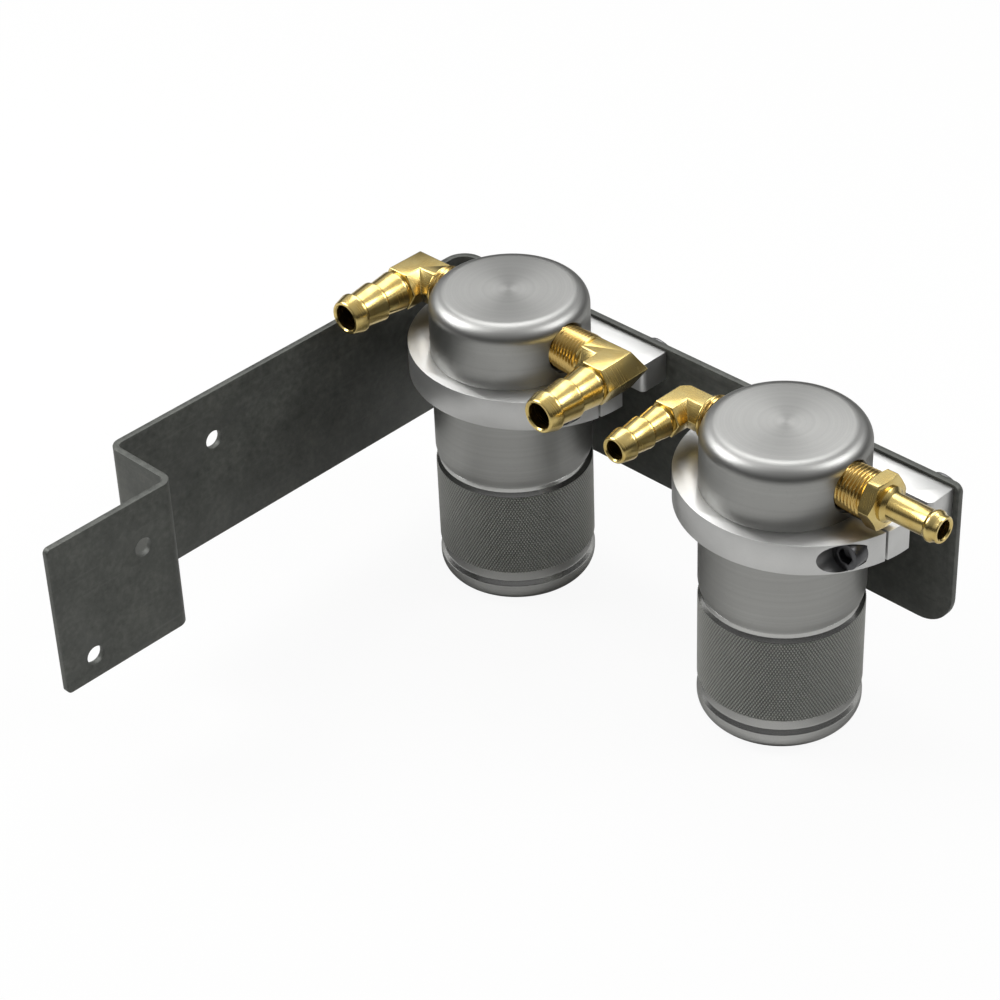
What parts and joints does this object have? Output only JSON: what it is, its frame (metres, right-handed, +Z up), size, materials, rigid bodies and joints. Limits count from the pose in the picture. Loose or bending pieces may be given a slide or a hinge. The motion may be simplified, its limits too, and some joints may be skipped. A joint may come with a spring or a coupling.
{
  "type": "oil catch can",
  "caption": "Side-by-side crankcase oil catch cans with knurled screw-off cups, brass hose fittings and split clamps on one folded steel bracket.",
  "frame": {"origin": "axis of the left can at the height of its foot", "axes": "+X along the bracket's long leg from the left can to the right can, +Y towards the bracket's back, +Z up along the cans' axes"},
  "size_m": [0.2494, 0.2282, 0.1176],
  "materials": {
    "aluminium": "turned and brushed, satin",
    "knurled_aluminium": "knurled, satin",
    "dark_steel": "bare hot-rolled steel with dark mill scale",
    "bright_steel": "plain, satin",
    "screw_steel": "blackened, satin",
    "brass": "machined, bright",
    "rubber": "matt"
  },
  "bodies": {
    "can_assembly": {"bracket": "dark_steel", "left_body": "aluminium", "left_baffle": "bright_steel", "left_mesh_pad": "bright_steel", "left_retaining_ring": "bright_steel", "left_clamp": "aluminium", "left_clamp_screw": "screw_steel", "left_bracket_screws": "bright_steel", "left_inlet_elbow": "brass", "right_body": "aluminium", "right_baffle": "bright_steel", "right_mesh_pad": "bright_steel", "right_retaining_ring": "bright_steel", "right_clamp": "aluminium", "right_clamp_screw": "screw_steel", "right_bracket_screws": "bright_steel", "right_inlet_elbow": "brass", "left_outlet_elbow": "brass", "right_outlet_fitting": "brass"},
    "left_cup_lead": {"left_seal": "rubber"},
    "left_cup": {"left_cup": "knurled_aluminium"},
    "right_cup_lead": {"right_seal": "rubber"},
    "right_cup": {"right_cup": "knurled_aluminium"}
  },
  "joints": [
    {"name": "left_cup_drop", "type": "slide", "parent": "can_assembly", "child": "left_cup_lead", "axis": [0, 0, -1], "range_m": [0, 0.0105]},
    {"name": "left_cup_turn", "type": "hinge", "parent": "left_cup_lead", "child": "left_cup", "pos_m": [0, 0, 0], "axis": [0, 0, -1], "range_deg": [0, 2520]},
    {"name": "right_cup_drop", "type": "slide", "parent": "can_assembly", "child": "right_cup_lead", "axis": [0, 0, -1], "range_m": [0, 0.0105]},
    {"name": "right_cup_turn", "type": "hinge", "parent": "right_cup_lead", "child": "right_cup", "pos_m": [0.1256, 0, 0], "axis": [0, 0, -1], "range_deg": [0, 2520]}
  ],
  "couplings": [
    {"joint": "left_cup_drop", "follows": "left_cup_turn", "m_per_rad": 0.00023873},
    {"joint": "right_cup_drop", "follows": "right_cup_turn", "m_per_rad": 0.00023873}
  ]
}
